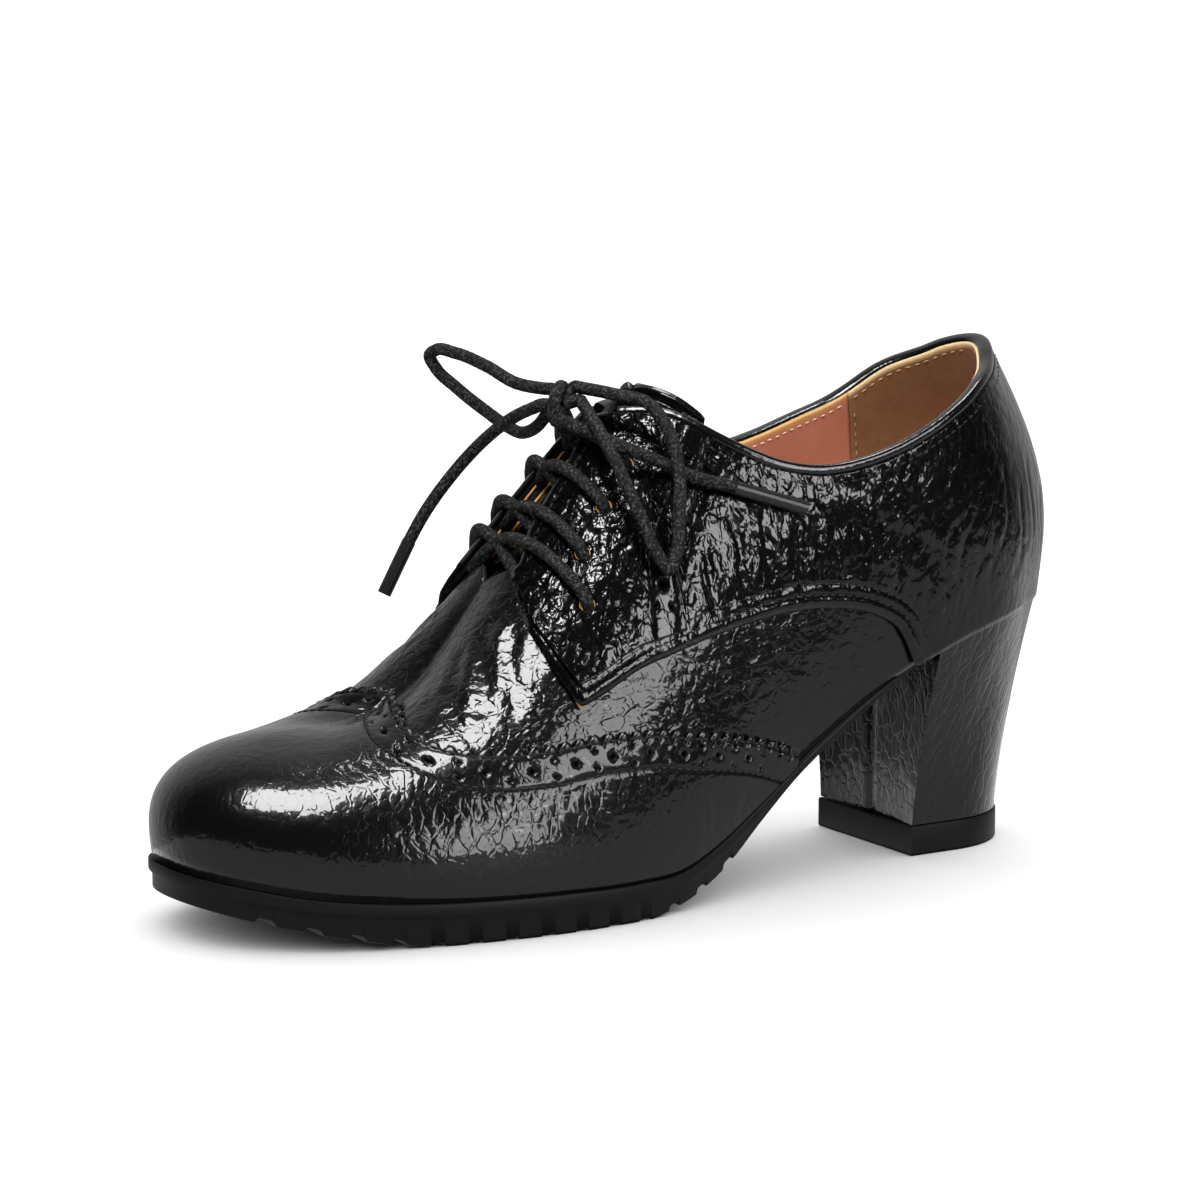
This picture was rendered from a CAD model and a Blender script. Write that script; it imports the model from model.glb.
"""Looks of a left block heel derby shoe in crinkled black patent leather.

The leather pieces are grids laid on the last, the same form that the solids come from. A
place on the last has a side (OUTER or INNER), a distance from the toe along the shoe, and
a rise from 0 at the feather line to 1 at the ridge over the instep. Tables and sizes are
in millimetres, and MM turns them into the frame's metres.
"""
import math

import bmesh
import bpy
import numpy as np
from mathutils import Matrix, Vector, noise


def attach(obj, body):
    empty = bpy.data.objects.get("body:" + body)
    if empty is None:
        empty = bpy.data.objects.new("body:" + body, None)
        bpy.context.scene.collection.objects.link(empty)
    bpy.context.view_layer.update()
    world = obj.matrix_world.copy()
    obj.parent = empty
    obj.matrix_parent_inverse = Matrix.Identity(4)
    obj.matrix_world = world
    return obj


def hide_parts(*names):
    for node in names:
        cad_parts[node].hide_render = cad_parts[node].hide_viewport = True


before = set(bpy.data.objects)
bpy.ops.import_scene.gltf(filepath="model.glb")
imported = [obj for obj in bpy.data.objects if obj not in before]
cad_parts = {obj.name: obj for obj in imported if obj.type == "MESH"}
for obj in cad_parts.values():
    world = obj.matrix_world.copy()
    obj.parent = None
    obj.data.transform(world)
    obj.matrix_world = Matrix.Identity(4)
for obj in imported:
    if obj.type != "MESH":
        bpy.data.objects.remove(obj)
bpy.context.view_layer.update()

MM = 0.001
OUTER = -1
INNER = 1
SIDES = (OUTER, INNER)
SIDE_NAMES = {OUTER: "outer", INNER: "inner"}

# The last
LENGTH = 242.0
TOE_X = -121.5
AXIS_Y = -0.1
RIDGE_START = 36.0
RIDGE_END = 195.0
BULGE_TOP = 0.75
LEAN_RISES = (0.08, 0.46)

# Layers of leather and their heights above the last
WALL = 1.6
GAP = 0.3
LAYER = 1.2
EYESTAY_LAYER = 1.0
TONGUE_LAYER = 1.8
OVERLAY_LIFT = 0.5
EYESTAY_LIFT = OVERLAY_LIFT + LAYER + GAP
TONGUE_LIFT = -(WALL + 1.0)
FACING_TOP = EYESTAY_LIFT + EYESTAY_LAYER
EDGE_STEP = 0.012
LINING_LAYER = 0.6
LINING_LIFT = -(WALL + 0.05)
LINING_LOW = 0.006        # the lining's foot, behind the insole's edge
LINING_SEAM = 209.0       # from the toe to the seam between lining and heel lining
LINING_RISE = 0.017       # of the lining's edge over the quarters' edge, beside the binding

# Sole and heel
INSOLE_LAYER = 2.5
INSOLE_INSET = 2.4
LEDGE_HEIGHT = 2.8
LEDGE_STEP = 0.9
LUG_DEPTH = 1.3
GROOVE_WIDTH = 3.0
GROOVE_SLOPE = 0.35
FIRST_GROOVE = 12.0
LAST_GROOVE = 138.0
GROOVE_PITCH = 9.0
BREAST = 196.0
HEEL_BOTTOM_WIDTH = 40.5
HEEL_BOTTOM_LENGTH = 36.4
HEEL_BACK_RADIUS = 22.0
HEEL_BOTTOM_FRONT = 194.9
HEEL_TOP_OFFSET = 1.2
HEEL_FLARE = 1.35
BREAST_HOLLOW = 1.5
BREAST_SEAM = 0.9         # depth of the cover's seam down the breast
TOP_PIECE = 8.0
TOP_PIECE_OFFSET = 0.4

# Height of the crumple on each piece
VAMP_CRUMPLE = 0.14
WING_CRUMPLE = 0.13
QUARTER_CRUMPLE = 0.2
FACING_CRUMPLE = 0.16
TONGUE_CRUMPLE = 0.12
LINING_CRUMPLE = 0.05
HEEL_CRUMPLE = 0.05
CRUMPLE_SEED = 5          # keeps the crumple the same in each run

# Trim
BINDING_START = 124.5
BINDING_HALF_THICK = 1.9
BINDING_HALF_HIGH = 1.2
BINDING_FOOT = 1.5        # of the half height, below the middle
BINDING_LIFT = (OVERLAY_LIFT + LAYER - WALL) / 2
TOOTH_PITCH = 3.9
TOOTH_DEPTH = 1.6
TOOTH_REACH = 4.5         # from the edge, over which the sheet gives way to the teeth
WING_APEX = 38.3          # from the toe to where the edge crosses the ridge
WING_PINKED = (20.0, 150.0)
WING_PUNCHED_TO = 141.0
WING_LIFT = 1.6           # of the pinked edge where it crosses the toe
PERFORATION_PITCH = 10.6
PERFORATION_LINE = 5.6    # from the pinked edge to the middle of the holes
LARGE_HOLE = 1.25
SMALL_HOLE = 0.8
PAIR_APART = 3.8
HOLE_DEPTH = 0.75
EYELET_RADIUS = 2.0
EYELET_DEPTH = 1.3
WING_STITCHES = (1.9, 9.3)            # distances of the stitch lines from the edge
WING_STITCH_STARTS = (42.0, 39.0)     # and where each starts, from the toe
WING_STITCH_STOP = 149.0
SWAN_STITCHES = (2.6, 5.4)
FACING_STITCHES = (2.2, 8.6)
STITCH_PITCH = 2.4
STITCH_LENGTH = 1.9
STITCH_WIDTH = 0.6
SEAM_GROOVE = 0.28        # how deep the thread pulls the leather in
SEAM_SPREAD = 0.55        # half the width of that groove
SEAM_SHADE = 0.5          # of a hole's darkness, along the groove
THREAD_PROUD = 0.15       # how far the thread stands out of the groove
CALM_SWELL = 0.10         # share of the swellings left where the leather is pulled smooth
CALM_WRINKLES = 0.38      # and of the fine wrinkles
CREASE_HALF = 0.13        # half width of the crease between two cells, as a share of a cell
PATENT_BLACK = (0.0018, 0.0018, 0.002)
HOLE_BLACK = (0.0004, 0.0004, 0.0005)

# Laces
LACE_RADIUS = 1.6
TIP_RADIUS = 1.75
LACE_CROSSING = 2.6
LACE_DIP = 1.2
BRAID_PITCH = 5.2
KNOT = (-16.0, 4.4, 118.8)

# Camera, read off the photo's perspective
CAMERA_AZIMUTH = -31.9
CAMERA_ELEVATION = 10.0
CAMERA_DISTANCE = 1050.0
CAMERA_LENS = 128.4
CAMERA_TARGET = (-6.3, 1.2, 70.2)

# Studio: brightness that the leather mirrors, and the floor's own light
WALL_LIGHT = 0.02
BACKDROP_LIGHT = 0.35
TABLE_LIGHT = 0.52
TABLE_PLACE = (0.05, -0.18, 0.0004)
TABLE_SIZE = (0.95, 0.50)
FLOOR_LIGHT = 4.6
FLOOR_LIGHT_SPREAD = 150.0
FLOOR_HALF = 40.0


def table(names, rows):
    """Columns of numbers by name."""
    return dict(zip(names.split(), np.array(rows, float).T))


LAST = table("from_toe outer_y inner_y feather_z roundness bulge lean", [
    (0, 6.0, 6.0, 17.5, 2.60, 2.4, 0.0),
    (10, -17.0, 28.0, 15.3, 2.60, 2.2, 0.0),
    (22, -25.5, 34.5, 13.0, 2.50, 2.0, 0.0),
    (40, -32.5, 38.5, 11.2, 2.25, 1.7, 0.0),
    (60, -37.0, 40.0, 10.3, 1.95, 1.5, 0.0),
    (80, -39.4, 38.5, 9.9, 1.80, 1.4, 0.0),
    (100, -39.0, 34.0, 9.6, 1.75, 1.4, 0.0),
    (114, -37.0, 30.0, 10.4, 1.80, 1.5, 0.0),
    (126, -34.5, 27.0, 15.0, 1.85, 1.6, 0.0),
    (140, -31.5, 25.0, 22.8, 1.90, 1.8, 0.0),
    (160, -28.7, 24.3, 35.2, 2.00, 2.2, 0.0),
    (180, -28.2, 25.8, 47.0, 2.20, 2.6, 0.0),
    (200, -28.5, 27.4, 55.6, 2.30, 3.2, 0.8),
    (218, -25.8, 25.3, 60.4, 2.25, 4.0, 3.6),
    (233, -16.8, 16.8, 62.6, 2.15, 4.9, 6.8),
    (242, 0.0, 0.0, 64.0, 2.10, 5.3, 8.2),
])
RIDGE = table("from_toe z y", [
    (36, 44.6, 5.5), (50, 45.8, 5.5), (64, 52.6, 5.5), (80, 70.6, 5.5), (96, 92.5, 5.5),
    (112, 111.0, 5.0), (128, 127.0, 4.0), (146, 141.0, 3.0), (170, 154.0, 1.0), (195, 158.0, 0.0),
])
SOLE = table("from_toe rim bottom_z", [
    (0, 2.6, 9.8), (11, 2.6, 7.0), (24, 2.6, 3.9), (39, 2.6, 1.2), (52, 2.6, 0.0), (104, 2.6, 0.0),
    (114, 2.4, 2.2), (122, 2.2, 5.2), (130, 2.1, 9.8), (140, 2.0, 17.6), (152, 1.9, 26.9),
    (164, 1.6, 34.7), (180, 0.6, 44.4), (190, -1.0, 49.6), (195.7, -2.0, 51.6),
])
COLLAR_DIP = (206.0, 13.0, 0.021)     # of the inner side's collar: middle, half length and rise

# Edges on the last, by distance from the toe and rise
WING_EDGE = table("from_toe rise", [
    (0, 1.0), (38.2, 1.0), (39.0, 0.93), (39.7, 0.85), (40.5, 0.755), (41.5, 0.69), (44.2, 0.615),
    (48.2, 0.543), (53, 0.481), (62, 0.412), (75, 0.355), (94, 0.31), (111, 0.26), (120, 0.218),
    (130, 0.168), (143, 0.092), (152, 0.03),
])
THROAT_EDGE = table("from_toe rise", [(0, 1.0), (74, 1.0), (78, 0.92), (82, 0.84), (86, 0.80)])
QUARTER_TOP = table("from_toe rise", [
    (79, 0.69), (80, 0.76), (84, 0.80), (89, 0.847), (96, 0.873), (104, 0.892), (113, 0.925),
    (121, 0.945), (123.5, 0.90), (126, 0.86), (134, 0.75), (142, 0.626), (153, 0.503),
    (163, 0.428), (173, 0.376), (186, 0.341), (200, 0.341), (210, 0.359), (218, 0.382),
    (230, 0.414), (236, 0.436), (242, 0.452),
])
QUARTER_LOW = table("from_toe rise", [
    (79, 0.68), (80, 0.60), (83, 0.49), (86.6, 0.412), (87.6, 0.391), (88.6, 0.39), (106, 0.388),
    (122, 0.353), (139, 0.30), (153, 0.248), (167, 0.178), (177, 0.115), (184, 0.062), (189, 0.0),
    (242, 0.0),
])
EYESTAY_LOW = table("from_toe rise", [
    (80, 0.655), (84, 0.515), (87, 0.446), (88, 0.426), (89, 0.4245), (106, 0.42), (118.6, 0.388),
    (119.5, 0.386), (120.4, 0.41), (123, 0.485), (126.5, 0.51), (133.5, 0.55), (141, 0.61),
])
TONGUE_LOW = table("from_toe rise", [
    (64, 0.94), (72, 0.84), (80, 0.76), (95, 0.72), (120, 0.70), (130, 0.69), (138, 0.665),
    (142, 0.66), (144, 0.68),
])
TONGUE_TOP = table("from_toe rise", [
    (64, 1.0), (134, 1.0), (136.5, 0.92), (139.5, 0.825), (142, 0.755), (144, 0.695),
])
EYESTAY_REAR = 119.5      # the eyestay's edge is pinked behind this
QUARTER_START = 79.3
EYESTAY_START = 80.6

# Lace rows: the eyelet, and where the cord dips into the gap on the other side
LACE_ROWS = table("eyelet_from_toe eyelet_rise gap_from_toe", [
    (95.0, 0.56, 81.5), (98.5, 0.66, 90.5), (108.5, 0.705, 102.5), (118.5, 0.74, 112.5),
])

# Free lace: points along each cord's route, in metres, the first at the knot
CORDS = {
    "lace_loop_outer": [
        (-0.0118, 0.0010, 0.1230), (-0.0083, -0.0088, 0.1222), (-0.0032, -0.0153, 0.1205),
        (-0.0006, -0.0210, 0.1139), (-0.0006, -0.0255, 0.1045), (-0.0022, -0.0280, 0.0941),
        (-0.0041, -0.0299, 0.0860), (-0.0065, -0.0307, 0.0824), (-0.0091, -0.0290, 0.0863),
        (-0.0116, -0.0260, 0.0946), (-0.0142, -0.0210, 0.1050), (-0.0154, -0.0140, 0.1136),
        (-0.0132, -0.0020, 0.1194),
    ],
    "lace_loop_inner": [
        (-0.0167, 0.0091, 0.1222), (-0.0192, 0.0180, 0.1226), (-0.0201, 0.0320, 0.1256),
        (-0.0208, 0.0460, 0.1275), (-0.0220, 0.0540, 0.1276), (-0.0222, 0.0570, 0.1258),
        (-0.0209, 0.0560, 0.1227), (-0.0186, 0.0500, 0.1184), (-0.0166, 0.0380, 0.1133),
        (-0.0161, 0.0290, 0.1107), (-0.0169, 0.0200, 0.1102), (-0.0172, 0.0125, 0.1128),
        (-0.0173, 0.0090, 0.1153),
    ],
    "lace_end_outer": [
        (-0.0168, -0.0003, 0.1151), (-0.0146, -0.0072, 0.1134), (-0.0085, -0.0164, 0.1096),
        (-0.0016, -0.0202, 0.1063), (0.0049, -0.0229, 0.1030), (0.0103, -0.0243, 0.1013),
        (0.0161, -0.0254, 0.0996),
    ],
    "lace_end_inner": [
        (-0.0206, 0.0077, 0.1182), (-0.0220, 0.0140, 0.1156), (-0.0245, 0.0250, 0.1088),
        (-0.0285, 0.0330, 0.1002), (-0.0349, 0.0380, 0.0890), (-0.0389, 0.0390, 0.0819),
    ],
}
TIPS = {
    "lace_tip_outer": [(0.0155, -0.0253, 0.0998), (0.0252, -0.02735, 0.0966), (0.0339, -0.0292, 0.0937)],
    "lace_tip_inner": [(-0.0386, 0.0390, 0.0824), (-0.0422, 0.03953, 0.0755), (-0.0453, 0.0400, 0.0695)],
}

# Creases in the leather: ends by distance from the toe and rise, then half width and depth
CREASES = table("side from_toe rise to_from_toe to_rise width depth", [
    (OUTER, 60, 0.52, 70, 0.80, 2.6, 0.55),
    (OUTER, 68, 0.44, 77, 0.72, 2.4, 0.50),
    (OUTER, 54, 0.56, 60, 0.86, 2.2, 0.40),
    (OUTER, 47, 0.66, 63, 0.46, 1.1, 0.34),
    (OUTER, 50, 0.72, 69, 0.48, 1.2, 0.32),
    (OUTER, 46, 0.58, 57, 0.45, 1.0, 0.28),
    (INNER, 60, 0.50, 69, 0.80, 2.6, 0.55),
    (INNER, 67, 0.44, 76, 0.70, 2.4, 0.45),
    (OUTER, 150, 0.26, 147, 0.46, 1.6, 0.38),
    (OUTER, 158, 0.23, 155, 0.40, 1.4, 0.34),
    (OUTER, 166, 0.22, 165, 0.36, 1.7, 0.40),
    (OUTER, 174, 0.16, 171, 0.33, 1.5, 0.36),
    (OUTER, 183, 0.12, 181, 0.29, 1.8, 0.40),
    (OUTER, 192, 0.08, 189, 0.27, 1.6, 0.36),
    (OUTER, 195, 0.04, 202, 0.20, 0.8, 0.16),
    (OUTER, 200, 0.03, 208, 0.23, 0.7, 0.15),
    (OUTER, 206, 0.03, 213, 0.18, 0.8, 0.17),
    (OUTER, 211, 0.04, 219, 0.24, 0.7, 0.15),
    (OUTER, 218, 0.03, 225, 0.20, 0.8, 0.16),
    (OUTER, 225, 0.05, 231, 0.26, 0.8, 0.17),
    (OUTER, 232, 0.04, 237, 0.22, 0.8, 0.16),
    (OUTER, 133, 0.34, 128, 0.46, 1.7, 0.36),
    (OUTER, 141, 0.31, 138, 0.50, 1.6, 0.36),
    (INNER, 150, 0.26, 148, 0.44, 1.6, 0.36),
    (INNER, 164, 0.21, 161, 0.38, 1.7, 0.38),
    (INNER, 178, 0.14, 177, 0.30, 1.6, 0.36),
    (INNER, 193, 0.08, 190, 0.26, 1.7, 0.38),
    (INNER, 207, 0.05, 208, 0.27, 1.5, 0.34),
    (INNER, 222, 0.04, 220, 0.29, 1.7, 0.36),
])
GIRTH = 62.0              # length of a column where creases are measured


def smooth(x, places, values):
    """The smooth curve through a table's rows, read at x."""
    steps = np.diff(places)
    slopes = np.diff(values) / steps
    inner = (slopes[:-1] * steps[1:] + slopes[1:] * steps[:-1]) / (steps[:-1] + steps[1:])
    first = 1.5 * slopes[0] - 0.5 * inner[0]
    last = 1.5 * slopes[-1] - 0.5 * inner[-1]
    tangents = np.concatenate([[first], inner, [last]])
    x = np.clip(x, places[0], places[-1])
    i = np.clip(np.searchsorted(places, x, side="right") - 1, 0, len(steps) - 1)
    t = (x - places[i]) / steps[i]
    return ((1 + 2 * t) * (1 - t) ** 2 * values[i] + t * (1 - t) ** 2 * steps[i] * tangents[i]
            + t * t * (3 - 2 * t) * values[i + 1] + t * t * (t - 1) * steps[i] * tangents[i + 1])


def ease(x, low, high):
    """0 below low, 1 above high, and a soft step between them."""
    t = np.clip((x - low) / (high - low), 0.0, 1.0)
    return t * t * (3 - 2 * t)


def bell(x, middle, spread):
    """1 at the middle, fading to 0 on both sides."""
    return np.exp(-((x - middle) / spread) ** 2)


def unit(vectors):
    """Vectors of length 1 in the same directions."""
    return vectors / np.linalg.norm(vectors, axis=-1, keepdims=True)


def turn(from_toe):
    """Distance along the shoe as an angle from 0 to pi, which rounds both ends."""
    return np.arccos(np.clip(1 - 2 * np.asarray(from_toe, float) / LENGTH, -1.0, 1.0))


def along(angle):
    """The distance from the toe that belongs to an angle."""
    return LENGTH * (1 - np.cos(angle)) / 2


LAST_TURNS = turn(LAST["from_toe"])


def last_value(column, angle):
    """A column of the last's table, read at an angle."""
    return smooth(angle, LAST_TURNS, LAST[column])


def plan_y(side, angle):
    """The feather line's distance from the shoe's axis."""
    return np.where(side < 0, last_value("outer_y", angle), last_value("inner_y", angle))


def feather(side, angle):
    """Plan position of the feather line and the outward direction there."""
    before = np.maximum(angle - 0.0005, 0.0)
    after = np.minimum(angle + 0.0005, math.pi)
    run_x = along(after) - along(before)
    run_y = plan_y(side, after) - plan_y(side, before)
    length = np.hypot(run_x, run_y)
    return (TOE_X + along(angle), AXIS_Y + plan_y(side, angle),
            -side * run_y / length, side * run_x / length)


def surface(side, angle, rise):
    """Points of the last: rounded columns from the feather line to the ridge."""
    x, y, out_x, out_y = feather(side, angle)
    z = last_value("feather_z", angle)
    power = 2 / last_value("roundness", angle)
    ridge_place = RIDGE_START + (RIDGE_END - RIDGE_START) * along(angle) / LENGTH
    ridge_x = TOE_X + ridge_place
    ridge_y = AXIS_Y + smooth(ridge_place, RIDGE["from_toe"], RIDGE["y"])
    ridge_z = smooth(ridge_place, RIDGE["from_toe"], RIDGE["z"])
    theta = np.clip(rise, 0.0, 1.0) * math.pi / 2
    inward = 1 - np.cos(theta) ** power
    upward = np.sin(theta) ** power
    bulge = last_value("bulge", angle) * np.sin(math.pi * np.minimum(rise / BULGE_TOP, 1.0))
    bulge = bulge - last_value("lean", angle) * ease(rise, *LEAN_RISES)
    return np.stack([x + (ridge_x - x) * inward + out_x * bulge,
                     y + (ridge_y - y) * inward + out_y * bulge,
                     z + (ridge_z - z) * upward], axis=-1)


def outward(side, angle, rise):
    """Unit vectors out of the last."""
    step = 0.002
    run = (surface(side, np.minimum(angle + step, math.pi), rise)
           - surface(side, np.maximum(angle - step, 0.0), rise))
    climb = (surface(side, angle, np.minimum(rise + step, 1.0))
             - surface(side, angle, np.maximum(rise - step, 0.0)))
    return unit(np.cross(run, climb) * -side[..., None])


def on_last(side, from_toe, rise, lift=0.0):
    """Points at a height above the last, and the directions out of it."""
    given = [np.asarray(value, float) for value in (side, from_toe, rise, lift)]
    side, from_toe, rise, lift = np.broadcast_arrays(*given)
    angle = turn(from_toe)
    out = outward(side, angle, rise)
    seam = (from_toe <= 0) | (from_toe >= LENGTH) | (rise >= 1)
    if seam.any():
        out[seam] = unit(out[seam] + outward(-side[seam], angle[seam], rise[seam]))
    return surface(side, angle, rise) + out * lift[..., None], out


def edge(rows, from_toe):
    """Rise of an edge at a distance from the toe."""
    return np.clip(smooth(np.asarray(from_toe, float), rows["from_toe"], rows["rise"]), 0.0, 1.0)


def collar(side, from_toe):
    """Rise of the quarters' top edge, which dips a little on the inner side."""
    middle, half, depth = COLLAR_DIP
    dip = depth * np.exp(-((np.asarray(from_toe, float) - middle) / half) ** 2)
    return edge(QUARTER_TOP, from_toe) - np.where(np.asarray(side) == INNER, dip, 0.0)


def upper_top(side, from_toe):
    """Rise of the upper's own edge: the throat in front, just under the quarters' edge behind it."""
    front = edge(THROAT_EDGE, from_toe)
    return np.where(from_toe < THROAT_EDGE["from_toe"][-1], front, collar(side, from_toe) - EDGE_STEP)


def pulled_smooth(from_toe, rise):
    """1 where the leather is pulled smooth over the last: toe, foot and back. 0 where it crinkles."""
    toe = 1 - 0.9 * ease(from_toe, 12, 56)
    foot = 1 - ease(rise, 0.10, 0.26) * (1 - 0.6 * ease(from_toe, 185, 200))
    back = 0.85 * ease(from_toe, 200, 224)
    ridge = 0.65 * ease(rise, 0.80, 0.94)
    return np.maximum.reduce(np.broadcast_arrays(toe, foot, back, ridge))


# Leather relief

def crumple(points, size, stretch=1.0):
    """Heights of crumpled leather: tilted facets of a size, longer up and down by stretch."""
    noise.seed_set(CRUMPLE_SEED)
    flat = points.reshape(-1, 3) / (size, size, size * stretch)
    heights = np.empty(len(flat))
    for i, spot in enumerate(flat):
        spot = Vector(spot) + noise.noise_vector(Vector(spot) * 0.9) * 0.45
        distances, cells = noise.voronoi(spot)
        lean = noise.cell_vector(cells[0] * 7.3) - Vector((0.5, 0.5, 0.5))
        crease = math.exp(-((distances[1] - distances[0]) / 0.12) ** 2)
        heights[i] = (spot - cells[0]).dot(lean) - 0.35 * crease
    return heights.reshape(points.shape[:-1])


def creases(side, from_toe, rise):
    """Soft troughs with a low ridge on each side, along the lines of the table."""
    depth = np.zeros(np.broadcast(side, from_toe, rise).shape)
    for row in range(len(CREASES["side"])):
        start = np.array([CREASES["from_toe"][row], CREASES["rise"][row] * GIRTH])
        stop = np.array([CREASES["to_from_toe"][row], CREASES["to_rise"][row] * GIRTH])
        run = stop - start
        length = np.hypot(*run)
        across = np.stack(np.broadcast_arrays(from_toe, rise * GIRTH), axis=-1) - start
        share = across @ run / length ** 2
        bend = 1.6 * np.sin(share * math.pi * 2 + row)
        off = (across @ np.array([-run[1], run[0]]) / length + bend) / CREASES["width"][row]
        fade = ease(share, -0.05, 0.25) * (1 - ease(share, 0.75, 1.05))
        near = (side == CREASES["side"][row]) * fade
        ridges = 0.4 * bell(np.abs(off), 2.0, 0.8)
        depth += CREASES["depth"][row] * near * (ridges - bell(off, 0.0, 1.0))
    return depth


def places_along(points):
    """Distance of each point from the first one, along the line through them."""
    return np.concatenate([[0.0], np.cumsum(np.linalg.norm(np.diff(points, axis=0), axis=1))])


def nearest_on(points, route):
    """Distance from each point to a route, and how far along it the nearest place is."""
    places = places_along(route)
    flat = points.reshape(-1, 3)
    gap = np.empty(len(flat))
    place = np.empty(len(flat))
    batch = 4000
    for first in range(0, len(flat), batch):
        part = flat[first:first + batch]
        apart = np.linalg.norm(part[:, None] - route[None], axis=2)
        best = apart.argmin(axis=1)
        gap[first:first + batch] = apart[np.arange(len(part)), best]
        place[first:first + batch] = places[best]
    return gap.reshape(points.shape[:-1]), place.reshape(points.shape[:-1])


def teeth(place):
    """How far a pinked edge is cut back at a place along it: 0 at a point, 1 in a notch."""
    return np.abs(2 * (place / TOOTH_PITCH % 1.0) - 1)


def seams(gap, lines):
    """1 along the lines of a seam, at distances from an edge."""
    return sum(bell(gap, line, SEAM_SPREAD) for line in lines)


def perforations(gap, place):
    """1 inside the punched holes beside a pinked edge: a large one, then a pair, and so on."""
    step = place / PERFORATION_PITCH
    large = np.hypot((step - np.rint(step)) * PERFORATION_PITCH, gap - PERFORATION_LINE)
    half = step - 0.5
    aside = np.abs(gap - PERFORATION_LINE) - PAIR_APART / 2
    small = np.hypot((half - np.rint(half)) * PERFORATION_PITCH, aside)
    return np.maximum(1 - ease(large, LARGE_HOLE - 0.45, LARGE_HOLE + 0.25),
                      1 - ease(small, SMALL_HOLE - 0.4, SMALL_HOLE + 0.25))


# Making pieces

def grid_object(name, points, finish, marks=None):
    """A welded grid through points (columns, rows, 3) in millimetres."""
    columns, rows = points.shape[:2]
    bm = bmesh.new()
    bmesh.ops.create_grid(bm, x_segments=columns - 1, y_segments=rows - 1, size=0.5)
    mesh = bpy.data.meshes.new(name)
    bm.to_mesh(mesh)
    spots = np.empty(len(mesh.vertices) * 3, np.float32)
    mesh.vertices.foreach_get("co", spots)
    spots = spots.reshape(-1, 3)
    column = np.rint((spots[:, 0] + 0.5) * (columns - 1)).astype(int)
    row = np.rint((spots[:, 1] + 0.5) * (rows - 1)).astype(int)
    mesh.vertices.foreach_set("co", (points[column, row] * MM).astype(np.float32).ravel())
    for mark, values in (marks or {}).items():
        layer = mesh.attributes.new(mark, "FLOAT", "POINT")
        layer.data.foreach_set("value", values[column, row].astype(np.float32))
    bm.clear()
    bm.from_mesh(mesh)
    bmesh.ops.remove_doubles(bm, verts=bm.verts[:], dist=0.000004)
    bmesh.ops.dissolve_degenerate(bm, edges=bm.edges[:], dist=0.000005)
    return bm, mesh, finish


def finish_object(made, closed=False, smooth_angle=60.0):
    """Links a grid as an object. A closed grid gets its ends filled and its faces turned out."""
    bm, mesh, finish = made
    if closed:
        bmesh.ops.holes_fill(bm, edges=bm.edges[:])
        bmesh.ops.recalc_face_normals(bm, faces=bm.faces[:])
    bm.to_mesh(mesh)
    bm.free()
    mesh.shade_smooth()
    mesh.set_sharp_from_angle(angle=math.radians(smooth_angle))
    mesh.materials.append(finish)
    piece = bpy.data.objects.new(mesh.name, mesh)
    bpy.context.scene.collection.objects.link(piece)
    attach(piece, "root")
    return piece


def turn_outwards(bm, out, points):
    """Turns the faces of a sheet so that they look out of the last."""
    bmesh.ops.recalc_face_normals(bm, faces=bm.faces[:])
    face = max(bm.faces, key=lambda f: f.calc_area())
    middle = np.array(face.calc_center_median()) / MM
    nearest = np.linalg.norm(points.reshape(-1, 3) - middle, axis=1).argmin()
    if face.normal.dot(Vector(out.reshape(-1, 3)[nearest])) < 0:
        bmesh.ops.reverse_faces(bm, faces=bm.faces[:])


def thicken(piece, thickness, offset):
    """Gives a sheet its thickness: outwards at an offset of 1, inwards at -1."""
    wall = piece.modifiers.new("wall", "SOLIDIFY")
    wall.thickness = thickness * MM
    wall.offset = offset
    return wall


def leather_sheet(name, side, from_toe, rise, lift, thickness, finish, marks=None, cut_edge=None):
    """A sheet of leather on the last. A negative thickness goes inwards."""
    points, out = on_last(side, from_toe, rise, lift)
    made = grid_object(name, points, finish, marks)
    turn_outwards(made[0], out, points)
    piece = finish_object(made)
    wall = thicken(piece, abs(thickness), math.copysign(1.0, thickness))
    if cut_edge is not None:
        piece.data.materials.append(cut_edge)
        wall.material_offset_rim = 1
    return piece


def both_sides(stop, columns):
    """Sides and distances of a sheet that runs from the outer side round the toe to the inner side."""
    angles = np.linspace(-turn(stop), turn(stop), columns)
    return np.where(angles < 0, OUTER, INNER), along(np.abs(angles))


def round_heel(start, columns):
    """Sides and distances of a sheet that runs from the outer side round the heel to the inner side."""
    angles = np.linspace(turn(start), 2 * math.pi - turn(start), columns)
    return np.where(angles < math.pi, OUTER, INNER), along(np.minimum(angles, 2 * math.pi - angles))


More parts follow.
